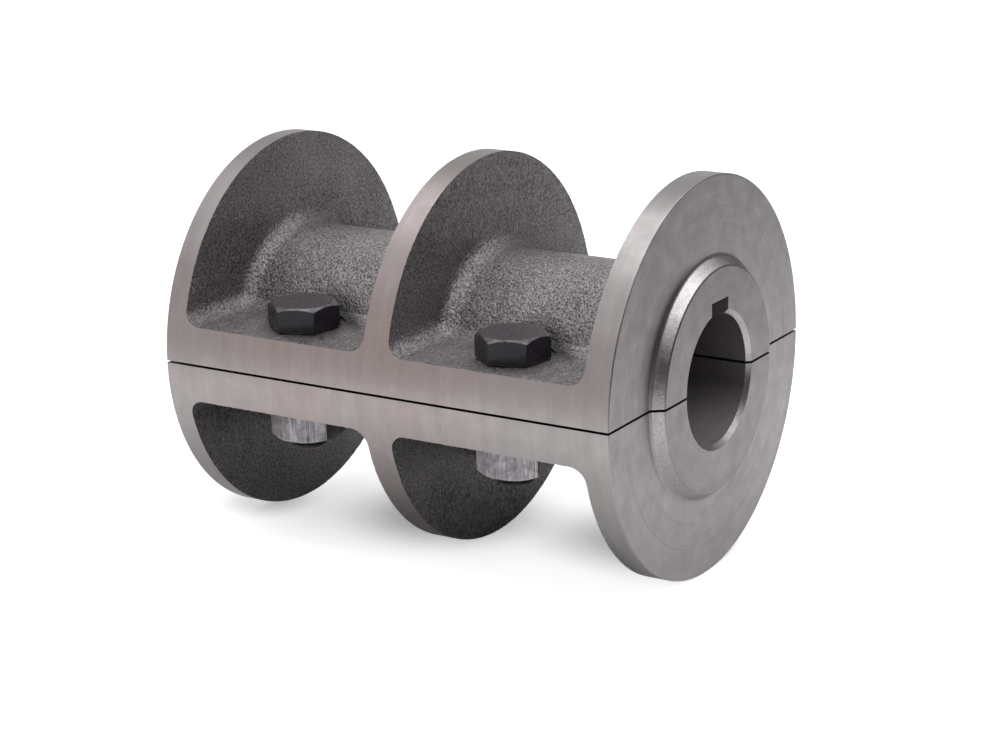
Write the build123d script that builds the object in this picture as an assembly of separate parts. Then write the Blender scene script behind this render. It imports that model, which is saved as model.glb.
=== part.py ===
from build123d import *
import math
import os

os.makedirs("parts", exist_ok=True)

# Rigid ribbed coupling: two cast-iron halves bolted together round a pair of shaft ends.
# Millimetres. X runs along the bore, +X to the stamped end, -Y is the near side, +Z is up.
# The halves part on Z = 0, and the origin is on the bore axis at mid-length.

# Turned outside, and the ribs and bays along the shaft
outside_diameter = 146.0
left_flange_thickness = 8.6
middle_rib_thickness = 10.4
right_flange_thickness = 10.2
bay_length = 78.7
rim_round = 0.5

# Raised boss on each end face
boss_height = 4.4
boss_face_diameter = 82.0
boss_flank_angle = 35.0
boss_edge_round = 1.0
boss_root_fillet = 2.2

# As-cast barrel and bolting plates
barrel_diameter = 76.0
plate_height = 14.2
core_fillet = 6.0
rib_draft = 0.6

# Bore, keyway and the gap that lets the halves clamp
bore_diameter = 47.625
bore_chamfer = 1.6
keyway_width = 12.7
keyway_depth = 6.35
clamp_gap = 0.9

# Hexagon bolts and nuts, five-eighths inch
bolt_diameter = 15.875
bolt_length = 44.45
bolt_end_chamfer = 1.3
head_across_flats = 23.5
head_height = 9.6
nut_across_flats = 23.8
nut_height = 12.9
hex_chamfer_angle = 30.0
hex_face_share = 0.95
washer_face_thickness = 0.5
bolt_hole_clearance = 0.8
thread_clearance = 0.1
head_to_barrel = 2.8
spot_face_clearance = 2.2

# Where each head and nut stopped when it was tightened, in degrees about its own axis
tightened = {
    "near_left": (22.0, 35.0),
    "near_right": (22.0, 38.0),
    "far_left": (51.0, 12.0),
    "far_right": (8.0, 29.0),
}

# Stations along X
casting_length = (
    left_flange_thickness + middle_rib_thickness + right_flange_thickness + 2 * bay_length
)
overall_length = casting_length + 2 * boss_height
left_end = -overall_length / 2
right_end = overall_length / 2
left_face = left_end + boss_height
right_face = right_end - boss_height
left_bay_start = left_face + left_flange_thickness
right_bay_end = right_face - right_flange_thickness
left_bay_centre = left_bay_start + bay_length / 2
right_bay_centre = right_bay_end - bay_length / 2

# Radii, heights and sideways places that follow from the driving sizes
outside_radius = outside_diameter / 2
boss_face_radius = boss_face_diameter / 2
boss_base_radius = boss_face_radius + boss_height * math.tan(math.radians(boss_flank_angle))
barrel_radius = barrel_diameter / 2
bore_radius = bore_diameter / 2
bolt_radius = bolt_diameter / 2
head_corner_radius = max(head_across_flats, nut_across_flats) / math.sqrt(3)
barrel_at_plate = math.sqrt(barrel_radius**2 - plate_height**2)
bolt_offset = barrel_at_plate + head_corner_radius + head_to_barrel
keyway_top = math.sqrt(bore_radius**2 - (keyway_width / 2) ** 2) + keyway_depth

# Cutting tools run past the material by this much
run_out = 10.0


def turned_stock():
    """The whole outside as one turning, with a boss at each end."""
    outline = Polyline(
        (left_end, 0),
        (left_end, boss_face_radius),
        (left_face, boss_base_radius),
        (left_face, outside_radius),
        (right_face, outside_radius),
        (right_face, boss_base_radius),
        (right_end, boss_face_radius),
        (right_end, 0),
        close=True,
    )
    section = make_face(outline)
    for radius, size in (
        (boss_face_radius, boss_edge_round),
        (boss_base_radius, boss_root_fillet),
        (outside_radius, rim_round),
    ):
        corners = [v for v in section.vertices() if math.isclose(v.Y, radius, abs_tol=0.01)]
        section = fillet(corners, size)
    return revolve(Plane.XZ * section, Axis.X)


def bay_space(centre):
    """The space that the sand fills between two ribs, above one pair of bolting plates.

    Its end walls lean outwards with the draft, its floor is the plates, and the barrel
    stands in it. Every edge where two of those meet has the casting's fillet.
    """
    top = outside_radius + run_out
    spread = (top - plate_height) * math.tan(math.radians(rib_draft))
    half = bay_length / 2
    wall = make_face(
        Polyline(
            (centre - half, plate_height),
            (centre + half, plate_height),
            (centre + half + spread, top),
            (centre - half - spread, top),
            close=True,
        )
    )
    reach = outside_radius + run_out
    space = extrude(Plane.XZ * wall, amount=reach, both=True)
    barrel = Rot(0, 90, 0) * Cylinder(barrel_radius, bay_length + 4 * run_out)
    space -= Pos(centre, 0, 0) * barrel
    inner_edges = [
        e
        for e in space.edges()
        if e.bounding_box().max.Z < top - 1 and abs(e.center().Y) < reach - 1
    ]
    return fillet(inner_edges, core_fillet)


def bore_tool():
    """The through bore with a chamfered mouth at each end, and the keyway at the top."""
    mouth_radius = bore_radius + bore_chamfer
    outline = Polyline(
        (left_end - run_out, 0),
        (left_end - run_out, mouth_radius),
        (left_end, mouth_radius),
        (left_end + bore_chamfer, bore_radius),
        (right_end - bore_chamfer, bore_radius),
        (right_end, mouth_radius),
        (right_end + run_out, mouth_radius),
        (right_end + run_out, 0),
        close=True,
    )
    bore = revolve(Plane.XZ * make_face(outline), Axis.X)
    slot = Box(
        overall_length + 2 * run_out,
        keyway_width,
        keyway_top,
        align=(Align.CENTER, Align.CENTER, Align.MIN),
    )
    return bore + slot


def bolt_places():
    """Name and place of each bolt: one each side of the barrel in each bay."""
    for side, y in (("near", -bolt_offset), ("far", bolt_offset)):
        for end, x in (("left", left_bay_centre), ("right", right_bay_centre)):
            yield f"{side}_{end}", x, y


def casting():
    """Both halves as cast and machined, before they are sawn apart."""
    body = turned_stock()
    for centre in (left_bay_centre, right_bay_centre):
        space = bay_space(centre)
        body -= space
        body -= mirror(space, about=Plane.XY)
    body -= bore_tool()
    hole = Cylinder(bolt_radius + bolt_hole_clearance, 2 * plate_height + run_out)
    spot_radius = head_corner_radius + spot_face_clearance
    spot_depth = outside_radius + run_out - plate_height
    spot = Cylinder(spot_radius, spot_depth, align=(Align.CENTER, Align.CENTER, Align.MIN))
    for _, x, y in bolt_places():
        body -= Pos(x, y, 0) * hole
        body -= Pos(x, y, plate_height) * spot
        body -= Pos(x, y, -plate_height - spot_depth) * spot
    return body


def hexagon(across_flats, height):
    """A hexagon prism that stands on Z = 0."""
    flats = RegularPolygon(across_flats / 2, 6, major_radius=False)
    return extrude(flats, amount=height)


def corner_cone(across_flats, height):
    """The cone that turns the corners off the top of a hexagon of this height."""
    top_radius = across_flats / 2 * hex_face_share
    slope = 1 / math.tan(math.radians(hex_chamfer_angle))
    return Cone(
        top_radius + height * slope,
        top_radius,
        height,
        align=(Align.CENTER, Align.CENTER, Align.MIN),
    )


def washer_face(across_flats):
    """The thin round bearing face under a head or a nut."""
    return Cylinder(
        across_flats / 2 * hex_face_share,
        washer_face_thickness,
        align=(Align.CENTER, Align.CENTER, Align.MIN),
    )


def hex_bolt():
    """A hexagon bolt whose head bears on Z = 0 and whose shank hangs below."""
    block_height = head_height - washer_face_thickness
    head = hexagon(head_across_flats, block_height) & corner_cone(head_across_flats, block_height)
    head = Pos(0, 0, washer_face_thickness) * head + washer_face(head_across_flats)
    shank = Cylinder(bolt_radius, bolt_length, align=(Align.CENTER, Align.CENTER, Align.MAX))
    tip = shank.edges().sort_by(Axis.Z)[0]
    return head + chamfer(tip, bolt_end_chamfer)


def hex_nut():
    """A hexagon nut that bears on Z = 0 and reaches down, chamfered at its free end."""
    block_height = nut_height - washer_face_thickness
    block = hexagon(nut_across_flats, block_height) & corner_cone(nut_across_flats, block_height)
    nut = Pos(0, 0, washer_face_thickness) * block + washer_face(nut_across_flats)
    nut -= Cylinder(bolt_radius + thread_clearance, 4 * nut_height)
    mouth = [
        e
        for e in nut.edges()
        if e.geom_type == GeomType.CIRCLE
        and math.isclose(e.radius, bolt_radius + thread_clearance, abs_tol=0.01)
        and e.center().Z > nut_height / 2
    ]
    return Rot(180, 0, 0) * chamfer(mouth, bolt_end_chamfer)


body = casting()
halves = {
    "upper_half": split(body, bisect_by=Plane.XY.offset(clamp_gap / 2), keep=Keep.TOP),
    "lower_half": split(body, bisect_by=Plane.XY.offset(-clamp_gap / 2), keep=Keep.BOTTOM),
}
for node, half in halves.items():
    export_step(half, f"parts/{node}.step")

bolt = hex_bolt()
nut = hex_nut()
for place, x, y in bolt_places():
    head_turn, nut_turn = tightened[place]
    placed_bolt = Pos(x, y, plate_height) * Rot(0, 0, head_turn) * bolt
    placed_nut = Pos(x, y, -plate_height) * Rot(0, 0, nut_turn) * nut
    export_step(placed_bolt, f"parts/bolt_{place}.step")
    export_step(placed_nut, f"parts/nut_{place}.step")

print("overall length", round(overall_length, 2), "bolt offset", round(bolt_offset, 2))
print("left bay centre", round(left_bay_centre, 2), "right bay centre", round(right_bay_centre, 2))
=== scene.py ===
# %% [markdown]
# # A ribbed coupling in two bolted halves
# The real object joins two shafts. Two iron castings are bolted together and turned in a lathe,
# so three rims and the bolting plates share one bright cylinder, while the bays between the rims
# keep the rough skin that the sand gave them. The CAD solids give the sizes and places. This
# scene dresses them: it casts the halves again with real relief, and gives every surface the
# finish of the process that made it.

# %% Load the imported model
import math

import bmesh
import bpy
from mathutils import Matrix, Vector


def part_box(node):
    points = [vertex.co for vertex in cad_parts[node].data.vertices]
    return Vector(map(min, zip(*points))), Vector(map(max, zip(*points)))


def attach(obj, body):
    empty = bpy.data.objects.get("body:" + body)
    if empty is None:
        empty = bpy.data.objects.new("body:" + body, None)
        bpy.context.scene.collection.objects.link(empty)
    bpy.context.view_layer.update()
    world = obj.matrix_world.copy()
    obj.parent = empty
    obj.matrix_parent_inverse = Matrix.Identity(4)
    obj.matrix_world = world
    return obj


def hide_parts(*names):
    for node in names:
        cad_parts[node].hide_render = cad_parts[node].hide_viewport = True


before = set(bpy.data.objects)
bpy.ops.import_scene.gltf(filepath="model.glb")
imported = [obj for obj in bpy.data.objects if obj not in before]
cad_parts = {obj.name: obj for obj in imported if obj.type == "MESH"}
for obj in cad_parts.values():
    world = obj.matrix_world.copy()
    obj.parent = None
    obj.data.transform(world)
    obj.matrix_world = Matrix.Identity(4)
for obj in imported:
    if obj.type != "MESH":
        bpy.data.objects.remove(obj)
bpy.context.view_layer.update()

scene = bpy.context.scene
scene.view_settings.view_transform = "Standard"
mm = 0.001
print("nodes:", ", ".join(sorted(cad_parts)))

# %% [markdown]
# ## The sizes that the dressing needs
# Everything that the solids can tell is read from their boxes, so the dressing follows them. What
# a box can't tell, such as the thickness of a rim, is written once, in millimetres, and turned
# to metres, Blender's unit.

# %% Sizes that many cells share
half_low, half_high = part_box("upper_half")
outside_radius = half_high.z
end_x = half_high.x
gap_half = half_low.z

boss_height = 4.4 * mm
boss_face_radius = 41.0 * mm
boss_flank_angle = math.radians(35)
boss_base_radius = boss_face_radius + boss_height * math.tan(boss_flank_angle)
face_x = end_x - boss_height
left_flange = 8.6 * mm
middle_rib = 10.4 * mm
bay_length = 78.7 * mm
left_bay_start = -face_x + left_flange
right_bay_start = left_bay_start + bay_length + middle_rib
bay_starts = (left_bay_start, right_bay_start)

barrel_radius = 38.0 * mm
plate_height = 14.2 * mm
barrel_edge = math.sqrt(barrel_radius**2 - plate_height**2)
nut_flats = 23.8 * mm
widest_corner = nut_flats / math.sqrt(3)
head_to_barrel = 2.8 * mm
bolt_y = barrel_edge + widest_corner + head_to_barrel
stations = [round(size / mm, 2) for size in (*bay_starts, face_x, bolt_y)]
print("bay starts, face and bolt, in mm:", stations)

# %% [markdown]
# ## The camera
# The photograph looks down a little on the right-hand end, from nearly a metre away with a
# longish lens. The rims of the three ribs are circles of known size, and their ellipses in the
# picture fix the camera. Its axes are worked out from three angles, because Blender wants a full
# matrix: X to the right of the picture, Y up, and Z back towards the photographer.

# %% Camera at the photograph's viewing angle
def camera_matrix(azimuth, elevation, roll, distance, target):
    """Matrix of a camera that looks at target from these angles, in degrees."""
    az, el, ro = (math.radians(a) for a in (azimuth, elevation, roll))
    back = Vector((math.sin(az) * math.cos(el), -math.cos(az) * math.cos(el), math.sin(el)))
    level_right = (-back).cross(Vector((0, 0, 1))).normalized()
    level_up = level_right.cross(-back)
    right = math.cos(ro) * level_right + math.sin(ro) * level_up
    up = math.cos(ro) * level_up - math.sin(ro) * level_right
    turn = Matrix((right, up, back)).transposed().to_4x4()
    return Matrix.Translation(target + back * distance) @ turn


lens = bpy.data.cameras.new("photo_camera")
lens.sensor_width = 36
lens.lens = 89.42
lens.shift_y = -0.0215
lens.clip_start = 0.05
camera = bpy.data.objects.new("photo_camera", lens)
camera.matrix_world = camera_matrix(
    azimuth=31.914, elevation=16.016, roll=-1.21, distance=0.9258, target=Vector((0.0063, 0, 0))
)
scene.collection.objects.link(camera)
scene.camera = camera
print("camera stands at", [round(c, 3) for c in camera.location])

# %% [markdown]
# ## Helpers for meshes
# A bmesh is a mesh in the workshop: operators shape it, and it becomes a Blender mesh at the end.
# A finished piece sits at the world's origin with its place in its mesh, as the CAD nodes do, so
# patterns on Object coordinates stay put. `settle` keeps the result of a piece's modifiers.

# %% Helpers: from a bmesh to a finished piece
def to_object(bm, name, materials=()):
    """Ends a bmesh and shows it as an object."""
    mesh = bpy.data.meshes.new(name)
    bm.to_mesh(mesh)
    bm.free()
    for material in materials:
        mesh.materials.append(material)
    piece = bpy.data.objects.new(name, mesh)
    scene.collection.objects.link(piece)
    return piece


def settle(piece):
    """Puts the result of the modifiers in the mesh."""
    graph = bpy.context.evaluated_depsgraph_get()
    finished = bpy.data.meshes.new_from_object(piece.evaluated_get(graph))
    piece.modifiers.clear()
    rough, piece.data = piece.data, finished
    bpy.data.meshes.remove(rough)
    finished.name = piece.name
    return piece


def combine(piece, tool, operation="DIFFERENCE"):
    """Cuts the tool from the piece, or joins them, and throws the tool away."""
    boolean = piece.modifiers.new(operation.title(), "BOOLEAN")
    boolean.operation = operation
    boolean.object = tool
    boolean.solver = "MANIFOLD"
    boolean.material_mode = "TRANSFER"
    settle(piece)
    mesh = tool.data
    bpy.data.objects.remove(tool)
    bpy.data.meshes.remove(mesh)


def soften(piece):
    """Smooth shading between faces that meet at less than 30 degrees."""
    piece.data.shade_smooth()
    piece.data.set_sharp_from_angle(angle=math.radians(30))
    weigh = piece.modifiers.new("Flat faces stay flat", "WEIGHTED_NORMAL")
    weigh.keep_sharp = True
    weigh.weight = 100
    settle(piece)


print("mesh helpers: to_object, settle, combine, soften")

# %% [markdown]
# Most shapes here were turned, so most begin as an outline of (x, radius) points that is spun
# about X. A bolt stands upright, so `stand_up` turns its spun shapes to Z.

# %% Helpers: turned, extruded and rounded shapes
def turned(outline, steps):
    """A closed bmesh turned about X from (x, radius) points that begin and end on the axis."""
    bm = bmesh.new()
    points = [bm.verts.new((x, 0, radius)) for x, radius in outline]
    edges = [bm.edges.new(pair) for pair in zip(points, points[1:])]
    bmesh.ops.spin(
        bm, geom=points + edges, cent=(0, 0, 0), axis=(1, 0, 0),
        angle=2 * math.pi, steps=steps, use_merge=True,
    )
    bmesh.ops.remove_doubles(bm, verts=bm.verts, dist=0.001 * mm)
    bmesh.ops.recalc_face_normals(bm, faces=bm.faces)
    return bm


def stand_up(bm):
    """Turns what was spun about X so that its axis is Z."""
    quarter = Matrix.Rotation(-math.pi / 2, 3, "Y")
    bmesh.ops.rotate(bm, verts=bm.verts, cent=(0, 0, 0), matrix=quarter)


def ring(bm, x, radius):
    """The edges that go round X at this station and radius."""
    near = 0.01 * mm
    there = {v for v in bm.verts if abs(v.co.x - x) < near}
    there = {v for v in there if abs(v.co.yz.length - radius) < near}
    return [e for e in bm.edges if there.issuperset(e.verts)]


def extrude_by(bm, faces, step):
    """Extrudes these faces by a step."""
    moved = bmesh.ops.extrude_face_region(bm, geom=faces)["geom"]
    verts = [g for g in moved if isinstance(g, bmesh.types.BMVert)]
    bmesh.ops.translate(bm, verts=verts, vec=step)


def round_edges(bm, edges, size, segments=4):
    """Rounds these edges so far back from their corner on each side."""
    bmesh.ops.bevel(
        bm, geom=edges, offset=size, offset_type="OFFSET", segments=segments,
        profile=0.5, affect="EDGES", material=-1, clamp_overlap=False,
    )


print("shape helpers: turned, stand_up, ring, extrude_by, round_edges")

# %% [markdown]
# ## Helpers for nodes
# The light, the floor and the finishes are all node trees. Wired a line at a time they are long
# to read. These helpers make a node, set or wire its inputs and hand back its result, so a row
# of nodes reads like a sum.

# %% Helpers: nodes as functions
def feed(tree, value, socket):
    """Wires a result to a socket, or sets the socket to a number or a colour."""
    if isinstance(value, bpy.types.NodeSocket):
        tree.links.new(value, socket)
    else:
        socket.default_value = value


def math_node(tree, operation, first, second=None):
    """A Math node on one or two results or numbers."""
    node = tree.nodes.new("ShaderNodeMath")
    node.operation = operation
    feed(tree, first, node.inputs[0])
    if second is not None:
        feed(tree, second, node.inputs[1])
    return node.outputs[0]


def ramp_node(tree, value, low, high, bottom=0.0, top=1.0):
    """Maps low...high to bottom...top, held at both ends."""
    node = tree.nodes.new("ShaderNodeMapRange")
    tree.links.new(value, node.inputs["Value"])
    limits = {"From Min": low, "From Max": high, "To Min": bottom, "To Max": top}
    for label, limit in limits.items():
        node.inputs[label].default_value = limit
    return node.outputs["Result"]


def weighted_sum(tree, *parts):
    """The sum of (result, share) pairs."""
    shares = [math_node(tree, "MULTIPLY", result, share) for result, share in parts]
    total = shares[0]
    for share in shares[1:]:
        total = math_node(tree, "ADD", total, share)
    return total


def slant(tree, first, second):
    """The long side of a right triangle, from its two short sides."""
    squares = [math_node(tree, "POWER", side, 2.0) for side in (first, second)]
    return math_node(tree, "SQRT", math_node(tree, "ADD", *squares))


def along_axis(tree, axis, output="Object"):
    """The point's own X, Y or Z in metres, or with the output Normal, how far it faces there."""
    apart = tree.nodes.new("ShaderNodeSeparateXYZ")
    tree.links.new(tree.nodes.new("ShaderNodeTexCoord").outputs[output], apart.inputs[0])
    return apart.outputs[axis]


print("node helpers: math_node, ramp_node, weighted_sum, slant, along_axis")

# %% [markdown]
# ## The light
# The photograph has a white ground and one big soft light overhead, which shows as a bright band
# along the rims. A picture of a studio as the world could light it all at once, but a few plain
# parts can each be matched to the photograph. The world gives the even light of a pale room: by
# way of the Light Path node it is plain white to the camera and in reflections, and less as
# light. A rectangular area lamp gives the overhead light. Reflections see a card in its place,
# so that the band's width and brightness can be set apart from the light.

# %% World
def rays_that_see(tree):
    """1 for camera rays, and 1 for reflections and rays through glass, as two results."""
    path = tree.nodes.new("ShaderNodeLightPath")
    mirrored = math_node(
        tree, "MAXIMUM", path.outputs["Is Glossy Ray"], path.outputs["Is Transmission Ray"]
    )
    return path.outputs["Is Camera Ray"], mirrored


room_light = 0.42
world = bpy.data.worlds.new("pale_room")
world.use_nodes = True
scene.world = world
tree = world.node_tree
background = tree.nodes["Background"]
background.inputs["Color"].default_value = (1, 1, 1, 1)
seen = math_node(tree, "MAXIMUM", *rays_that_see(tree))
tree.links.new(ramp_node(tree, seen, 0.0, 1.0, room_light, 1.0), background.inputs["Strength"])
print("world: 1.0 where it is seen,", room_light, "as light")

# %% Overhead softbox
softbox = bpy.data.lights.new("overhead_softbox", "AREA")
softbox.shape = "RECTANGLE"
softbox.size, softbox.size_y = 0.8, 0.78
softbox_level = 3.8
softbox.energy = softbox_level * math.pi * softbox.size * softbox.size_y
to_the_right, to_the_front, over_the_floor = 0.7, -0.12, 0.95
overhead = bpy.data.objects.new("overhead_softbox", softbox)
overhead.location = (to_the_right, to_the_front, over_the_floor)
overhead.rotation_euler = (0, math.atan2(to_the_right, over_the_floor), 0)
overhead.visible_glossy = False
scene.collection.objects.link(overhead)
print("softbox power", round(softbox.energy, 2), "W")

# %% [markdown]
# ## The floor
# The real ground is a white sheet that burns out to pure white, but for a soft shadow where the
# ribs stand on it. A white diffuse floor takes a shadow but is never quite white, so it has
# white of its own added, for the rays that see it and not as light. That is held back in a wide
# spot under the object and a small one at the foot of each rib, so that only the contact
# shadows stay. Reflections get less of it close by, because the underside of the object mirrors
# its own shadow. Each mask is a distance on the floor itself, so it holds from every side.

# %% Floor: masks for its own white
def fade(tree, centre, narrow, near, far, near_white, far_white):
    """From one white to another as the distance to a place on the floor grows.

    X counts by the share narrow, and the floor's own height doesn't count.
    """
    flat = tree.nodes.new("ShaderNodeMapping")
    flat.inputs["Scale"].default_value = (narrow, 1, 0)
    flat.inputs["Location"].default_value = (-narrow * centre[0], -centre[1], 0)
    distance = tree.nodes.new("ShaderNodeVectorMath")
    distance.operation = "LENGTH"
    place = tree.nodes.new("ShaderNodeTexCoord").outputs["Object"]
    tree.links.new(place, flat.inputs["Vector"])
    tree.links.new(flat.outputs["Vector"], distance.inputs[0])
    white = ramp_node(tree, distance.outputs["Value"], near, far, near_white, far_white)
    white.node.interpolation_type = "SMOOTHSTEP"
    return white


def shadow_spots(tree):
    """The white that the camera sees: held back in a wide spot, and under each rib's foot."""
    white = fade(tree, (-0.044, -0.008), 0.58, 0.0, 0.054, 0.6, 0.85)
    middle_foot = ((-0.022, 0.009), 1.0, 0.05, 0.22)
    right_foot = ((0.064, 0.016), 0.65, 0.044, 0.3)
    left_foot = ((-0.096, -0.014), 1.1, 0.028, 0.48)
    for centre, narrow, far, least in (middle_foot, right_foot, left_foot):
        spot = fade(tree, centre, narrow, 0.004, far, least, 1.0)
        white = math_node(tree, "MULTIPLY", white, spot)
    return white


def mirrored_white(tree):
    """The white that reflections see: none under the object, most 24 cm out, then less."""
    inner = fade(tree, (0, 0), 1.0, 0.033, 0.24, 0.0, 0.6)
    outer = fade(tree, (0, 0), 1.0, 0.24, 0.6, 1.0, 0.4)
    return math_node(tree, "MULTIPLY", inner, outer)


print("floor masks: a wide spot and three small ones")

# %% Floor: the sheet and its paper
paper = bpy.data.materials.new("white_paper")
paper.use_nodes = True
tree = paper.node_tree
tree.nodes.clear()
diffuse = tree.nodes.new("ShaderNodeBsdfDiffuse")
glow = tree.nodes.new("ShaderNodeEmission")
both = tree.nodes.new("ShaderNodeAddShader")
output = tree.nodes.new("ShaderNodeOutputMaterial")
directly, mirrored = rays_that_see(tree)
own_white = math_node(
    tree, "MAXIMUM",
    math_node(tree, "MULTIPLY", directly, shadow_spots(tree)),
    math_node(tree, "MULTIPLY", mirrored, mirrored_white(tree)),
)
tree.links.new(own_white, glow.inputs["Strength"])
tree.links.new(ramp_node(tree, mirrored, 0.0, 1.0, 0.95, 0.88), diffuse.inputs["Color"])
tree.links.new(diffuse.outputs[0], both.inputs[0])
tree.links.new(glow.outputs[0], both.inputs[1])
tree.links.new(both.outputs[0], output.inputs["Surface"])

bm = bmesh.new()
bmesh.ops.create_grid(bm, x_segments=1, y_segments=1, size=4.0)
bmesh.ops.translate(bm, verts=bm.verts, vec=(0, 0, -outside_radius))
floor = to_object(bm, "floor", [paper])
print("floor at", round(-outside_radius / mm, 1), "mm")

# %% [markdown]
# ## What the metal mirrors
# Cut iron has hardly any colour of its own: it shows the room. In the photograph it is dark
# where it mirrors the photographer's side, warm grey to the left of that, and bright in a band
# along the top. In the white world alone it would be pale all over. So curved screens stand
# where the darker parts of the room would be, and two level cards hang overhead. Only
# reflections see them, so they take no light from the object and never show in a view.

# %% Helpers: stage pieces that only reflections see
def glowing(name, colour):
    """A material that is this colour, whatever light falls on it."""
    cloth = bpy.data.materials.new(name)
    cloth.use_nodes = True
    nodes = cloth.node_tree.nodes
    nodes.clear()
    glow = nodes.new("ShaderNodeEmission")
    glow.inputs["Color"].default_value = (*colour, 1)
    output = nodes.new("ShaderNodeOutputMaterial")
    cloth.node_tree.links.new(glow.outputs[0], output.inputs["Surface"])
    return cloth


def only_reflected(piece):
    """Hides a stage piece from every ray but reflections."""
    for ray in ("camera", "diffuse", "transmission", "shadow", "volume_scatter"):
        setattr(piece, "visible_" + ray, False)


def screen(name, start, end, distance, height, colour):
    """A curved screen round the object between two azimuths, in degrees."""
    bm = bmesh.new()
    foot = bm.verts.new((0, -distance, -outside_radius))
    head = bm.verts.new((0, -distance, height))
    edge = bm.edges.new((foot, head))
    first = Matrix.Rotation(math.radians(start), 3, "Z")
    bmesh.ops.rotate(bm, verts=[foot, head], cent=(0, 0, 0), matrix=first)
    bmesh.ops.spin(
        bm, geom=[foot, head, edge], cent=(0, 0, 0), axis=(0, 0, 1),
        angle=math.radians(end - start), steps=24, use_merge=False,
    )
    only_reflected(to_object(bm, name, [glowing(name, colour)]))


def card(name, low, high, height, brightness):
    """A level rectangle of light between two corners (x, y)."""
    bm = bmesh.new()
    bmesh.ops.create_grid(bm, x_segments=1, y_segments=1, size=0.5)
    spread = (high[0] - low[0], high[1] - low[1], 1)
    middle = ((high[0] + low[0]) / 2, (high[1] + low[1]) / 2, height)
    bmesh.ops.scale(bm, verts=bm.verts, vec=spread)
    bmesh.ops.translate(bm, verts=bm.verts, vec=middle)
    only_reflected(to_object(bm, name, [glowing(name, (brightness,) * 3)]))


print("stage helpers: glowing, only_reflected, screen, card")

# %% Screens and cards
# A screen's azimuths, distance, height and colour, and a card's corners, height and brightness
dark_cloth = (0.06, 0.055, 0.06)
screen("dark_screen", 6, 130, 1.5, 1.0, dark_cloth)
screen("near_dark_screen", 55, 125, 0.36, 0.1, dark_cloth)
screen("left_screen", -75, 4, 0.55, 0.36, (0.78, 0.725, 0.71))
screen("right_screen", 130, 185, 1.5, 0.9, (0.22, 0.215, 0.22))
screen("back_screen", 185, 285, 1.5, 1.5, (0.6, 0.6, 0.6))
card("overhead_card", (-0.62, -0.4), (0.2, 0.4), 1.0, 2.05)
card("right_card", (0.38, -0.25), (1.2, 0.8), 1.0, 3.0)
print("five screens round the object, two cards over it")

# %% [markdown]
# ## Finish 1: grain, as a shader node group
# Sand leaves a skin with three scales: wide patches from the melt and from handling, a grain
# as coarse as the sand, and a few bright points where bare iron shows. A picture of sand could
# be wrapped round the part, but it would stretch and show a seam. Noise in Object coordinates
# does neither, so one node group makes all three from it. It puts out only masks and a height,
# and each material decides what they colour.

# %% Group: sand grain
def new_group(name, inputs, outputs):
    """A shader node group with float inputs (name, default) and float outputs."""
    group = bpy.data.node_groups.new(name, "ShaderNodeTree")
    for label, value in inputs:
        socket = group.interface.new_socket(
            label, in_out="INPUT", socket_type="NodeSocketFloat"
        )
        socket.default_value = value
    for label in outputs:
        group.interface.new_socket(label, in_out="OUTPUT", socket_type="NodeSocketFloat")
    return group, group.nodes.new("NodeGroupInput"), group.nodes.new("NodeGroupOutput")


def noise_node(tree, vector, scale, detail, roughness=0.5):
    """A Noise Texture's value at this scale, a result or a number per metre."""
    node = tree.nodes.new("ShaderNodeTexNoise")
    tree.links.new(vector, node.inputs["Vector"])
    feed(tree, scale, node.inputs["Scale"])
    node.inputs["Detail"].default_value = detail
    node.inputs["Roughness"].default_value = roughness
    return node.outputs["Fac"]


sand, given, made = new_group(
    "Sand grain",
    [("Grain per metre", 1150.0), ("Patches per metre", 45.0)],
    ["Grain", "Glints", "Patches", "Height"],
)
place = sand.nodes.new("ShaderNodeTexCoord").outputs["Object"]
grain = noise_node(sand, place, given.outputs["Grain per metre"], 3.0, 0.65)
patches = noise_node(sand, place, given.outputs["Patches per metre"], 3.0, 0.6)
finer = math_node(sand, "MULTIPLY", given.outputs["Grain per metre"], 2.1)
points = noise_node(sand, place, finer, 1.0)
sand.links.new(ramp_node(sand, grain, 0.36, 0.64), made.inputs["Grain"])
sand.links.new(ramp_node(sand, points, 0.63, 0.7), made.inputs["Glints"])
sand.links.new(ramp_node(sand, patches, 0.3, 0.7), made.inputs["Patches"])
sand.links.new(grain, made.inputs["Height"])
print("group:", sand.name)

# %% [markdown]
# ## Finish 2: tool marks, as a node group
# A lathe tool leaves fine grooves that run round the axis, whatever surface it turns. A Wave
# Texture gives rings, but too even ones. Noise that changes fast along X and along the radius,
# and slowly the other ways, gives grooves round a cylinder and rings on an end face with the
# same nodes, and has no seam.

# %% Group: tool marks
marks, given, made = new_group(
    "Tool marks",
    [("Grooves per metre", 2600.0), ("Drift per metre", 35.0)],
    ["Grooves", "Bands", "Dirt", "Radius"],
)
place = marks.nodes.new("ShaderNodeTexCoord").outputs["Object"]
along, across, up = (along_axis(marks, axis) for axis in "XYZ")
radius = slant(marks, across, up)


def groove_noise(density, drift, detail):
    """4-D noise, fast along X and the radius, slow in Y and Z."""
    join = marks.nodes.new("ShaderNodeCombineXYZ")
    marks.links.new(math_node(marks, "MULTIPLY", along, density), join.inputs[0])
    marks.links.new(math_node(marks, "MULTIPLY", radius, density), join.inputs[1])
    marks.links.new(math_node(marks, "MULTIPLY", across, drift), join.inputs[2])
    noise = marks.nodes.new("ShaderNodeTexNoise")
    noise.noise_dimensions = "4D"
    marks.links.new(join.outputs[0], noise.inputs["Vector"])
    marks.links.new(math_node(marks, "MULTIPLY", up, drift), noise.inputs["W"])
    noise.inputs["Scale"].default_value = 1.0
    noise.inputs["Detail"].default_value = detail
    return noise.outputs["Fac"]


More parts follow.
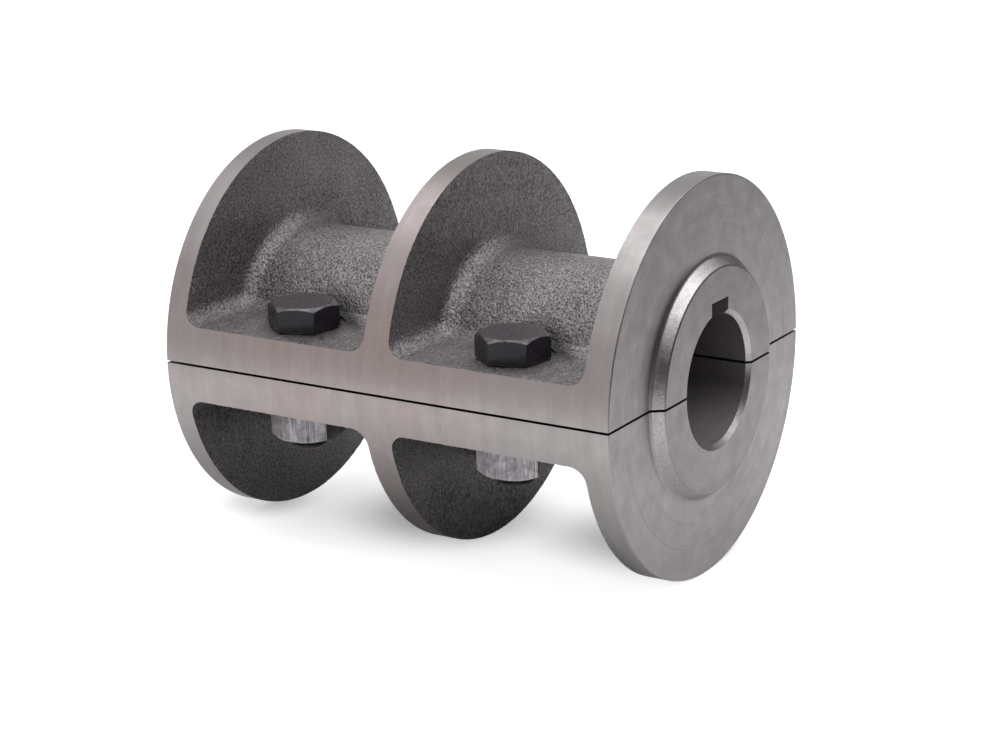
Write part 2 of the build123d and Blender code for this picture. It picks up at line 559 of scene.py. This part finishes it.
drift = given.outputs["Drift per metre"]
grooves = groove_noise(given.outputs["Grooves per metre"], drift, 3.0)
wider = math_node(marks, "DIVIDE", given.outputs["Grooves per metre"], 9.0)
bands = groove_noise(wider, drift, 2.0)
dirt_per_metre = 140.0
dirt = noise_node(marks, place, dirt_per_metre, 4.0, 0.65)
marks.links.new(grooves, made.inputs["Grooves"])
marks.links.new(ramp_node(marks, bands, 0.3, 0.7), made.inputs["Bands"])
marks.links.new(ramp_node(marks, dirt, 0.3, 0.7), made.inputs["Dirt"])
marks.links.new(radius, made.inputs["Radius"])
print("group:", marks.name)

# %% [markdown]
# ## Helpers for materials
# Each finish is a Principled shader whose constants sit on the shader itself. What changes over
# the surface comes from the groups' masks: `tint` picks a tone between two, `wash` lays a colour
# or a grey over whatever feeds Base Color, so washes can be laid one over another, `vary`
# moves a value such as Roughness, and `relief` turns a height into a bump.

# %% Helpers: materials
def new_material(name, **constants):
    """A material with a Principled shader and these constants on its sockets."""
    material = bpy.data.materials.new(name)
    material.use_nodes = True
    shader = material.node_tree.nodes["Principled BSDF"]
    for label, value in constants.items():
        shader.inputs[label.replace("_", " ")].default_value = value
    return material, material.node_tree, shader


def place_group(tree, group, **values):
    """Puts the group in a material, with its own values."""
    node = tree.nodes.new("ShaderNodeGroup")
    node.node_tree = group
    for label, value in values.items():
        node.inputs[label.replace("_", " ")].default_value = value
    return node.outputs


def mix_colours(tree, amount, below, above, blend="MIX"):
    """A Mix node on two colours, each a result or four numbers."""
    mix = tree.nodes.new("ShaderNodeMix")
    mix.data_type = "RGBA"
    mix.blend_type = blend
    for label, value in (("Factor", amount), ("A", below), ("B", above)):
        feed(tree, value, mix.inputs[label])
    return mix.outputs["Result"]


def tint(tree, shader, amount, dark, pale):
    """Base Color from dark to pale by this amount."""
    tone = mix_colours(tree, amount, (*dark, 1), (*pale, 1))
    tree.links.new(tone, shader.inputs["Base Color"])


def wash(tree, shader, colour, amount=1.0, blend="MULTIPLY"):
    """Lays a colour or a grey over the Base Color by this amount."""
    base = shader.inputs["Base Color"]
    below = base.links[0].from_socket
    tree.links.new(mix_colours(tree, amount, below, colour, blend), base)


def vary(tree, shader, label, mask, bottom, top, low=0.0, high=1.0):
    """Moves a value of the shader from bottom to top as the mask goes from low to high."""
    tree.links.new(ramp_node(tree, mask, low, high, bottom, top), shader.inputs[label])


def relief(tree, shader, height, depth):
    """Normal from this height, where a value of 1 stands so many metres high."""
    bump = tree.nodes.new("ShaderNodeBump")
    bump.inputs["Distance"].default_value = depth
    tree.links.new(height, bump.inputs["Height"])
    tree.links.new(bump.outputs["Normal"], shader.inputs["Normal"])


print("material helpers: new_material, place_group, tint, wash, vary, relief")

# %% [markdown]
# ## The skin as cast
# In the bays the iron keeps its skin, grey and grainy with a glint here and there. A grey paint
# with a bump would look like plaster. Rough iron still mirrors the room, so this is nearly all
# metallic. Walls that face right get painted shade and faces that look up get painted light,
# which the surface's Normal tells. And behind each head, where the spot facer bit into the
# barrel's fillet, a dark crescent of painted shade is laid by the distance from the bolt's axis.

# %% Material: skin as cast
cast_skin, tree, shader = new_material("cast_skin")
skin = place_group(tree, sand)
tone = weighted_sum(tree, (skin["Grain"], 0.8), (skin["Patches"], 0.2))
tint(tree, shader, tone, (0.052, 0.0482, 0.05), (0.435, 0.404, 0.414))
vary(tree, shader, "Metallic", skin["Glints"], 0.88, 1.0)
vary(tree, shader, "Roughness", skin["Glints"], 0.33, 0.2)
relief(tree, shader, skin["Height"], 0.65 * mm)
facing_right = along_axis(tree, "X", "Normal")
facing_up = along_axis(tree, "Z", "Normal")
# Painted shade on walls that face right, painted light on faces that look up
wash(tree, shader, ramp_node(tree, facing_right, 0.75, 1.0, 1.0, 0.82))
wash(tree, shader, ramp_node(tree, facing_up, 0.8, 1.0, 1.0, 1.22))
print("material:", cast_skin.name)

# %% Painted shade behind heads and nuts, on the same material
crescent_shade_tone = 0.22
bay_pitch = right_bay_start - left_bay_start
between_bays = left_bay_start + (bay_pitch + bay_length) / 2
from_between = math_node(tree, "SUBTRACT", along_axis(tree, "X"), between_bays)
from_bolt_x = math_node(
    tree, "SUBTRACT", math_node(tree, "ABSOLUTE", from_between), bay_pitch / 2
)
from_bolt_y = math_node(
    tree, "SUBTRACT", math_node(tree, "ABSOLUTE", along_axis(tree, "Y")), bolt_y
)
from_bolt = slant(tree, from_bolt_x, from_bolt_y)
outside_painted_shade = math_node(
    tree, "MAXIMUM",
    ramp_node(tree, from_bolt, 17.8 * mm, 23.2 * mm),
    ramp_node(tree, from_bolt_y, -12.0 * mm, -1.0 * mm),
)
# Painted shade: darkens the skin in a crescent behind each head and nut
wash(tree, shader, ramp_node(tree, outside_painted_shade, 0.0, 1.0, crescent_shade_tone, 1.0))
print("oil darkens the skin to", crescent_shade_tone, "of its tone behind each head")

# %% [markdown]
# ## The machined faces
# The turned rims are bright and mirror the softbox in a band, the faced ends are a little darker,
# and the bore is darker still. They could be three materials from scratch, but all are one
# recipe with other numbers, so one function makes them: fine grooves, wider bands and dirt make
# the tone, and a stain in wide patches warms it. What is special to a face is washed over it:
# the rims redden towards the middle, and the boss is darker than the face round it, which has
# two faint lines.

# %% Material: turned rims
def machined(name, dark, pale, roughness, depth, stain=(1.0, 1.0, 1.0)):
    """Cut iron: two tones, roughness range, groove depth, and what handling multiplies by."""
    material, tree, shader = new_material(name, Metallic=1.0)
    cut = place_group(tree, marks)
    lines = ramp_node(tree, cut["Grooves"], 0.3, 0.7)
    tone = weighted_sum(tree, (lines, 0.3), (cut["Bands"], 0.35), (cut["Dirt"], 0.35))
    tint(tree, shader, tone, dark, pale)
    handled = place_group(tree, sand, Patches_per_metre=16.0)["Patches"]
    wash(tree, shader, (*stain, 1), handled)
    vary(tree, shader, "Roughness", cut["Dirt"], *roughness)
    relief(tree, shader, cut["Grooves"], depth)
    return material, tree, shader


turned_iron, tree, shader = machined(
    "turned_iron", (0.31, 0.298, 0.297), (0.405, 0.39, 0.389),
    roughness=(0.36, 0.25), depth=0.02 * mm, stain=(0.97, 0.94, 0.93),
)
reddest_x = -15.0 * mm
from_reddest = math_node(
    tree, "ABSOLUTE", math_node(tree, "SUBTRACT", along_axis(tree, "X"), reddest_x)
)
reddened = ramp_node(tree, from_reddest, 30.0 * mm, 85.0 * mm, 1.0, 0.0)
wash(tree, shader, (1.0, 0.93, 0.925, 1), reddened)
print("material:", turned_iron.name)

# %% Materials: faced ends, bored inside
line_half_width = 0.3 * mm
faced_iron, tree, shader = machined(
    "faced_iron", (0.262, 0.246, 0.25), (0.355, 0.333, 0.338),
    roughness=(0.44, 0.34), depth=0.012 * mm, stain=(0.9, 0.88, 0.9),
)
height = along_axis(tree, "Z")
# Painted light: the faced ends are paler towards the bottom, by height
wash(tree, shader, ramp_node(tree, height, -60.0 * mm, 50.0 * mm, 1.07, 1.02))
radius = place_group(tree, marks)["Radius"]
wash(tree, shader, ramp_node(tree, radius, 41.2 * mm, 41.8 * mm, 0.84, 1.0))
for line_radius, darker in ((61.5 * mm, 0.1), (52.2 * mm, 0.06)):
    line = math_node(tree, "COMPARE", radius, line_radius)
    line.node.inputs[2].default_value = line_half_width
    wash(tree, shader, ramp_node(tree, line, 0.0, 1.0, 1.0, 1.0 - darker))

bored_iron, tree, shader = machined(
    "bored_iron", (0.25, 0.23, 0.24), (0.36, 0.336, 0.349),
    roughness=(0.5, 0.42), depth=0.02 * mm,
)
height = along_axis(tree, "Z")
vary(tree, shader, "Metallic", height, 0.62, 0.98, low=-22.0 * mm, high=-8.0 * mm)
print("materials:", faced_iron.name, bored_iron.name)

# %% [markdown]
# The boss's sloped flank and the bore's chamfers look frosted: pale, with a fine grain in place
# of grooves. The parting faces and the walls of the upper spot faces get a dark finish, which is
# painted shade.

# %% Materials: boss flank, parting faces
flank_iron, tree, shader = new_material("flank_iron", Metallic=1.0)
skin = place_group(tree, sand, Grain_per_metre=1300.0, Patches_per_metre=150.0)
tint(tree, shader, skin["Grain"], (0.33, 0.315, 0.319), (0.46, 0.44, 0.445))
# Painted shade: the flank darkens towards the bottom, by height
wash(tree, shader, ramp_node(tree, along_axis(tree, "Z"), -35.0 * mm, 0.0, 0.78, 1.0))
vary(tree, shader, "Roughness", skin["Patches"], 0.42, 0.3)
relief(tree, shader, skin["Height"], 0.06 * mm)

# Painted shade: a dark cut finish for the parting faces and the upper spot-face walls
painted_shade_wall, tree, shader = machined(
    "painted_shade_wall", (0.05, 0.046, 0.048), (0.11, 0.102, 0.105),
    roughness=(0.5, 0.4), depth=0.02 * mm,
)
print("materials:", flank_iron.name, painted_shade_wall.name)

# %% [markdown]
# ## The castings, made the foundry's way
# A foundry packs sand where the bays will be and pours iron round it, and a lathe turns the
# outside. Bump on the solids would leave no real lump, so that order is followed with meshes.
# A turned stock has the boss, its fillet and its rounded edges from a spun outline. A sand core
# is a solid of its own: it gets the casting's fillets with a bevel, even small faces with a
# voxel Remesh, and lumps with a Displace. A Boolean then takes it out of the stock and leaves
# its material on the new faces, so the skin ends where the turned rim begins, on a slightly
# uneven line.

# %% Turned stock
boss_edge_round = 1.0 * mm
boss_root_fillet = 2.2 * mm
rim_round = 0.5 * mm
casting_finishes = [turned_iron, faced_iron, painted_shade_wall, flank_iron]
TURNED, FACED, PARTING, FLANK = range(4)
turned_lean, flank_lean = 0.3, 0.8


def finish_of(face):
    """Which finish a face of the stock has, by its lean along X and its radius."""
    lean = abs(face.normal.x)
    radius = face.calc_center_median().yz.length
    if lean < turned_lean:
        return TURNED
    on_flank = boss_face_radius - mm < radius < boss_base_radius + 2 * mm
    return FLANK if lean < flank_lean and on_flank else FACED


def casting_stock():
    """The whole outside, with a boss at each end, as a closed bmesh."""
    outline = [
        (-end_x, 0), (-end_x, boss_face_radius),
        (-face_x, boss_base_radius), (-face_x, outside_radius),
    ]
    outline += [(-x, radius) for x, radius in reversed(outline)]
    bm = turned(outline, 360)
    to_offset = math.tan((math.pi / 2 - boss_flank_angle) / 2)
    for side in (-1, 1):
        edge = ring(bm, side * end_x, boss_face_radius)
        round_edges(bm, edge, boss_edge_round * to_offset)
        root = ring(bm, side * face_x, boss_base_radius)
        round_edges(bm, root, boss_root_fillet * to_offset)
        rim = ring(bm, side * face_x, outside_radius)
        round_edges(bm, rim, rim_round, 3)
    for face in bm.faces:
        face.material_index = finish_of(face)
    return bm


def half_stock(name, side):
    """Half of the stock: side 1 is the upper one, -1 the lower."""
    bm = casting_stock()
    bmesh.ops.bisect_plane(
        bm, geom=bm.verts[:] + bm.edges[:] + bm.faces[:],
        plane_co=(0, 0, side * gap_half), plane_no=(0, 0, side), clear_inner=True,
    )
    outline = [e for e in bm.edges if e.is_boundary]
    for face in bmesh.ops.contextual_create(bm, geom=outline)["faces"]:
        face.material_index = PARTING
    bmesh.ops.recalc_face_normals(bm, faces=bm.faces)
    return to_object(bm, name, casting_finishes)


upper = half_stock("upper_casting", 1)
lower = half_stock("lower_casting", -1)
halves = ((upper, 1), (lower, -1))
print("stock faces:", len(upper.data.polygons))

# %% [markdown]
# The core's section is drawn across the shaft: flat over each plate, with an arch over the
# barrel. Extruded along the shaft it is one bay. The end walls lean with the draft that lets a
# pattern out of the sand, and the bevel gives one fillet all round the bottom edge. A lower bay
# is the same core, mirrored downwards.

# %% Sand cores
core_fillet = 6.0 * mm
rib_draft = math.radians(0.6)
arch_steps = 40
reach = outside_radius + 7 * mm


def takes_fillet(edge):
    """True for the bottom edges at both end walls, and where the barrel meets the plates."""
    first, second = (vert.co for vert in edge.verts)
    middle = (first + second) / 2
    if middle.z > reach - mm or abs(middle.y) > reach - mm:
        return False
    if abs(first.x - second.x) < 5 * mm:
        return True
    on_plate = abs(middle.z - plate_height) < 0.1 * mm
    return on_plate and abs(abs(middle.y) - barrel_edge) < 0.1 * mm


def sand_core(start, side):
    """The sand of one bay, above or below the plates, with its fillets, as a bmesh."""
    lean = math.asin(plate_height / barrel_radius)
    sweep = math.pi - 2 * lean
    arch = [lean + sweep * step / arch_steps for step in range(arch_steps + 1)]
    section = [(reach, plate_height)]
    section += [(barrel_radius * math.cos(a), barrel_radius * math.sin(a)) for a in arch]
    section += [(-reach, plate_height), (-reach, reach), (reach, reach)]
    bm = bmesh.new()
    wall = bm.faces.new([bm.verts.new((start, y, z)) for y, z in section])
    extrude_by(bm, [wall], (bay_length, 0, 0))
    for vert in bm.verts:
        outwards = 1 if vert.co.x > start + bay_length / 2 else -1
        vert.co.x += outwards * (vert.co.z - plate_height) * math.tan(rib_draft)
    bmesh.ops.recalc_face_normals(bm, faces=bm.faces)
    round_edges(bm, [e for e in bm.edges if takes_fillet(e)], core_fillet, 6)
    bmesh.ops.scale(bm, verts=bm.verts, vec=(1, 1, side))
    bmesh.ops.recalc_face_normals(bm, faces=bm.faces)
    return bm


print("core reaches", round(reach / mm, 1), "mm from the axis")

# %% Pack the sand and pour
sand_lumps = bpy.data.textures.new("sand_lumps", "CLOUDS")
sand_lumps.noise_basis = "IMPROVED_PERLIN"
sand_lumps.noise_scale = 2.2 * mm
sand_lumps.noise_depth = 2
sand_face = 0.82 * mm
lump_height = 0.5 * mm


def packed_sand(start, side):
    """The core with sand grain in its surface, as an object that is ready to cut."""
    core = to_object(sand_core(start, side), "sand_core")
    even = core.modifiers.new("Even faces", "REMESH")
    even.mode = "VOXEL"
    even.voxel_size = sand_face
    lumps = core.modifiers.new("Lumps", "DISPLACE")
    lumps.texture = sand_lumps
    lumps.texture_coords = "LOCAL"
    lumps.strength = lump_height
    settle(core)
    core.data.materials.append(cast_skin)
    return core


for half, side in halves:
    for start in bay_starts:
        combine(half, packed_sand(start, side))
    print(half.name, "with its bays:", len(half.data.polygons), "faces")

# %% [markdown]
# ## Bore, keyway and bolt seats
# These are cut as a machinist would: a boring bar with a chamfer at each mouth, a key cutter of
# the key's width, and for each bolt a drill with a spot facer above it, which trims the barrel's
# fillet so that the head seats flat. Each cutter is closed and runs past the iron, because a
# Boolean is unsure where two faces lie in one plane.

# %% Tools for the bore and the keyway
bore_radius = 47.625 / 2 * mm
bore_chamfer = 1.6 * mm
keyway_width = 12.7 * mm
keyway_depth = 6.35 * mm
keyway_top = math.sqrt(bore_radius**2 - (keyway_width / 2) ** 2) + keyway_depth
run_out = 9 * mm


def boring_bar():
    """The bore with its chamfered mouths."""
    mouth = bore_radius + bore_chamfer
    outline = [
        (-end_x - run_out, 0), (-end_x - run_out, mouth),
        (-end_x, mouth), (-end_x + bore_chamfer, bore_radius),
    ]
    outline += [(-x, radius) for x, radius in reversed(outline)]
    bm = turned(outline, 240)
    for face in bm.faces:
        face.material_index = 1 if abs(face.normal.x) > turned_lean else 0
    return to_object(bm, "boring_bar", [bored_iron, flank_iron])


def key_cutter():
    """A square-edged slot of the key's width, from the axis to the keyway's top."""
    bm = bmesh.new()
    bmesh.ops.create_cube(bm, size=1.0)
    block = (2 * (end_x + run_out), keyway_width, keyway_top)
    bmesh.ops.scale(bm, verts=bm.verts, vec=block)
    bmesh.ops.translate(bm, verts=bm.verts, vec=(0, 0, keyway_top / 2))
    return to_object(bm, "key_cutter", [bored_iron])


print("bore", round(2 * bore_radius / mm, 2), "mm, keyway to", round(keyway_top / mm, 2), "mm")

# %% Tool for the bolt seats
bolt_radius = 15.875 / 2 * mm
hole_clearance = 0.8 * mm
seat_clearance = 2.2 * mm
hole_radius = bolt_radius + hole_clearance
seat_radius = widest_corner + seat_clearance
wall_foot = 0.8 * mm
bolt_places = {
    side_name + "_" + end_name: (start + bay_length / 2, y)
    for side_name, y in (("near", -bolt_y), ("far", bolt_y))
    for end_name, start in (("left", left_bay_start), ("right", right_bay_start))
}


def seat_cutter(x, y, side):
    """A drill with a spot facer above the plate, whose wall is painted shade on the upper half.
    """
    outline = [
        (-mm, 0), (-mm, hole_radius), (plate_height, hole_radius), (plate_height, seat_radius),
        (plate_height + wall_foot, seat_radius), (reach, seat_radius), (reach, 0),
    ]
    bm = turned(outline, 96)
    for face in bm.faces:
        middle = face.calc_center_median()
        wall = middle.x > plate_height + mm and middle.yz.length > seat_radius - mm
        face.material_index = 1 if wall and side == 1 else 0
    stand_up(bm)
    bmesh.ops.scale(bm, verts=bm.verts, vec=(1, 1, side))
    bmesh.ops.translate(bm, verts=bm.verts, vec=(x, y, 0))
    bmesh.ops.recalc_face_normals(bm, faces=bm.faces)
    return to_object(bm, "seat_cutter", [cast_skin, painted_shade_wall])


print("bolts at", {name: [round(c / mm, 1) for c in xy] for name, xy in bolt_places.items()})

# %% Machine the halves, and put them in place of their solids
for half, side in halves:
    combine(half, boring_bar())
    if side == 1:
        combine(half, key_cutter())
    for x, y in bolt_places.values():
        combine(half, seat_cutter(x, y, side))
    soften(half)
    triangles = sum(len(face.vertices) - 2 for face in half.data.polygons)
    print(half.name, "machined:", triangles, "triangles")

for half, node in ((upper, "upper_half"), (lower, "lower_half")):
    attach(half, "root")
    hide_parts(node)
print("castings stand for upper_half and lower_half")

# %% [markdown]
# ## The bolts' finish
# The bolts are blackened steel: a thin oxide over the metal, dark and a little glossy, and
# rubbed along the edges, which are paler partly from wear and partly as a painted highlight.
# Oxide hides the metal, so the shader is not metallic, and it is paler where the surface faces
# up. An edge mask by pointiness would need far finer meshes, so the rubbed and highlit edges
# are a material of their own, which the block's bevels and the turned-off corners' slope take.

# %% Materials: blackened bolts
black_oxide, tree, shader = new_material("black_oxide", Metallic=0.0, IOR=1.42)
skin = place_group(tree, sand, Grain_per_metre=700.0, Patches_per_metre=160.0)
tint(tree, shader, skin["Patches"], (0.0105, 0.0085, 0.0125), (0.021, 0.0172, 0.025))
# Paler where the surface faces up
paler_facing_up = ramp_node(tree, along_axis(tree, "Z", "Normal"), 0.7, 0.98)
wash(tree, shader, (0.075, 0.066, 0.076, 1), paler_facing_up, "MIX")
vary(tree, shader, "Roughness", skin["Grain"], 0.36, 0.24)
relief(tree, shader, skin["Height"], 0.04 * mm)


def rubbed_and_highlit(name, metallic, dark, pale, roughness):
    """An edge that handling has rubbed bright, in patches, with a painted highlight."""
    material, tree, shader = new_material(name, Metallic=metallic)
    skin = place_group(tree, sand, Grain_per_metre=900.0, Patches_per_metre=300.0)
    tint(tree, shader, skin["Patches"], dark, pale)
    vary(tree, shader, "Roughness", skin["Grain"], *roughness)
    return material


# Edges paler partly from wear and partly as a painted highlight
rubbed_highlit_oxide = rubbed_and_highlit("rubbed_highlit_oxide", 0.8, (0.06, 0.055, 0.061), (0.2, 0.188, 0.2), (0.45, 0.3))
print("materials:", black_oxide.name, rubbed_highlit_oxide.name)

# %% [markdown]
# ## The nuts' finish
# The nuts are plain steel, drawn through a die, so their flats carry fine lines along the axis,
# and the photograph shows dark patches between the streaks. Noise that a Mapping node stretches
# along Z gives the lines, and the sand group's patches the rest.

# %% Materials: drawn nuts
along_z = 0.04
drawn_steel, tree, shader = new_material("drawn_steel", Metallic=1.0)
stretch = tree.nodes.new("ShaderNodeMapping")
stretch.inputs["Scale"].default_value = (1.0, 1.0, along_z)
place = tree.nodes.new("ShaderNodeTexCoord").outputs["Object"]
tree.links.new(place, stretch.inputs["Vector"])
lines = noise_node(tree, stretch.outputs["Vector"], 2200.0, 3.0, 0.6)
skin = place_group(tree, sand, Grain_per_metre=900.0, Patches_per_metre=330.0)
streaks = ramp_node(tree, lines, 0.38, 0.62)
tone = weighted_sum(tree, (streaks, 0.4), (skin["Patches"], 0.6))
tint(tree, shader, tone, (0.1, 0.095, 0.104), (0.46, 0.44, 0.465))
vary(tree, shader, "Roughness", lines, 0.5, 0.32, low=0.3, high=0.7)
relief(tree, shader, lines, 0.03 * mm)
rubbed_highlit_steel = rubbed_and_highlit("rubbed_highlit_steel", 1.0, (0.3, 0.29, 0.3), (0.6, 0.585, 0.6), (0.42, 0.28))
print("materials:", drawn_steel.name, rubbed_highlit_steel.name)

# %% [markdown]
# ## Hexagon heads and nuts
# A head is a hexagon bar whose corners were turned off by a cone, so the hexagon's flats end in
# arcs. Those are hard to draw, and a prism intersected with a spun cone gets them as the real
# one does. A small bevel with the rubbed and highlit material then wears every edge, paler
# partly from wear and partly as a painted highlight. Under the block is a thin round washer
# face, on which it bears.

# %% Hexagon block
washer_face = 0.5 * mm
face_share = 0.95
corner_slope = math.radians(30)
corner_round = 0.35 * mm
worn_highlit_edge = 0.25 * mm
overlap = 0.1 * mm


def hexagon_block(name, across_flats, height, materials):
    """A hexagon on Z, from the washer face up, with its top corners turned off."""
    face_radius = across_flats / 2 * face_share
    bm = bmesh.new()
    corners = across_flats / math.sqrt(3)
    bmesh.ops.create_circle(bm, cap_ends=True, radius=corners, segments=6)
    flats_to_x = Matrix.Rotation(math.radians(30), 3, "Z")
    bmesh.ops.rotate(bm, verts=bm.verts, cent=(0, 0, 0), matrix=flats_to_x)
    bmesh.ops.translate(bm, verts=bm.verts, vec=(0, 0, washer_face))
    extrude_by(bm, bm.faces[:], (0, 0, height - washer_face))
    bmesh.ops.recalc_face_normals(bm, faces=bm.faces)
    upright = [e for e in bm.edges if abs(e.verts[0].co.z - e.verts[1].co.z) > mm]
    round_edges(bm, upright, corner_round, 3)
    block = to_object(bm, name, materials)
    combine(block, corner_cone(face_radius, height, materials), "INTERSECT")
    edges = block.modifiers.new("Edges", "BEVEL")
    edges.width = worn_highlit_edge
    edges.segments = 2
    edges.angle_limit = math.radians(25)
    edges.material = 1
    return settle(block)


def corner_cone(face_radius, height, materials):
    """The cone that turns the corners off; its slope has the second material."""
    spread = 16 * mm
    low = height - (spread - face_radius) * math.tan(corner_slope)
    outline = [(-mm, 0), (-mm, spread), (low, spread), (height, face_radius), (height, 0)]
    bm = turned(outline, 144)
    for face in bm.faces:
        face.material_index = 1 if 0.5 < face.normal.x < 0.99 else 0
    stand_up(bm)
    return to_object(bm, "corner_cone", materials)


def washer_points(across_flats):
    """The washer face's outline, a little way into the block above it."""
    face_radius, top = across_flats / 2 * face_share, washer_face + overlap
    return [(0, face_radius), (top, face_radius), (top, 0)]


print("hexagon corners slope at", round(math.degrees(corner_slope)), "degrees")

# %% [markdown]
# ## Bolts
# The thread is a spun shank whose rings are moved in and out along a helix: the radius at each
# vertex depends on how far it is along the pitch, less its share of the turn. A Screw modifier
# leaves open ends, and this shank stays closed, so a Boolean can join it to the head. Each
# bolt stopped at its own angle when it was tightened.

# %% Bolts
head_flats = 23.5 * mm
head_height = 9.6 * mm
bolt_length = 44.45 * mm
pitch = 25.4 / 11 * mm
thread_depth = 0.6134 * pitch
thread_steepness, thread_flat = 1.3, 0.15
rings_per_turn = 10
plain_shank = 4 * mm
tip_chamfer = 1.5 * mm


def threaded_shank():
    """The shank below Z = 0 with its thread and chamfered tip, and the washer face above."""
    rings = int(bolt_length / (pitch / rings_per_turn))
    tip = -bolt_length
    outline = [(tip, 0)]
    outline += [
        (tip + (bolt_length - mm) * i / rings, bolt_radius) for i in range(rings + 1)
    ]
    outline += [(0, bolt_radius)] + washer_points(head_flats)
    bm = turned(outline, 72)
    for vert in bm.verts:
        if vert.co.x > -plain_shank or vert.co.yz.length < mm:
            continue
        turn = math.atan2(vert.co.z, vert.co.y) / (2 * math.pi)
        phase = (vert.co.x / pitch - turn) % 1.0
        groove = min(max(abs(2 * phase - 1) * thread_steepness - thread_flat, 0), 1)
        thread_radius = bolt_radius - thread_depth * groove
        chamfer_radius = bolt_radius - tip_chamfer + (vert.co.x - tip)
        vert.co.yz = vert.co.yz.normalized() * min(thread_radius, chamfer_radius)
    stand_up(bm)
    return bm


tightened = {
    "near_left": (22, 35), "near_right": (22, 38), "far_left": (51, 12), "far_right": (8, 29),
}
for place_name, (x, y) in bolt_places.items():
    bolt = hexagon_block(
        "blackened_bolt_" + place_name, head_flats, head_height, [black_oxide, rubbed_highlit_oxide]
    )
    combine(bolt, to_object(threaded_shank(), "shank", [black_oxide]), "UNION")
    head_turn = Matrix.Rotation(math.radians(tightened[place_name][0]), 4, "Z")
    bolt.data.transform(Matrix.Translation((x, y, plate_height)) @ head_turn)
    soften(bolt)
    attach(bolt, "root")
    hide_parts("bolt_" + place_name)
    print(bolt.name, len(bolt.data.polygons), "faces")

# %% [markdown]
# ## Nuts
# A nut is the same block, with a hole that is chamfered at its free end. It is made right way
# up and then turned over, because it bears on the underside of the lower plate. Its bore stays
# plain, as the bolt's thread fills it and none of it shows.

# %% Nuts
nut_height = 12.9 * mm
nut_bore = bolt_radius + 0.1 * mm
nut_chamfer = 1.3 * mm


def upright_part(outline, name):
    """A spun shape on Z, of drawn steel."""
    bm = turned(outline, 96)
    stand_up(bm)
    return to_object(bm, name, [drawn_steel])


mouth = nut_bore + nut_chamfer
nut_hole = [
    (-mm, 0), (-mm, nut_bore), (nut_height - nut_chamfer, nut_bore),
    (nut_height, mouth), (nut_height + mm, mouth), (nut_height + mm, 0),
]
for place_name, (x, y) in bolt_places.items():
    nut = hexagon_block(
        "drawn_nut_" + place_name, nut_flats, nut_height, [drawn_steel, rubbed_highlit_steel]
    )
    combine(nut, upright_part([(0, 0)] + washer_points(nut_flats), "washer_face"), "UNION")
    combine(nut, upright_part(nut_hole, "nut_hole"))
    upside_down = Matrix.Rotation(math.pi, 4, "X")
    nut_turn = Matrix.Rotation(math.radians(tightened[place_name][1]), 4, "Z")
    nut.data.transform(Matrix.Translation((x, y, -plate_height)) @ nut_turn @ upside_down)
    soften(nut)
    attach(nut, "root")
    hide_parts("nut_" + place_name)
    print(nut.name, len(nut.data.polygons), "faces")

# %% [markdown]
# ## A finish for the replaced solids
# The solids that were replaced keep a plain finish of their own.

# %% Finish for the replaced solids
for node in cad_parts.values():
    if not node.data.materials:
        node.data.materials.append(cast_skin)
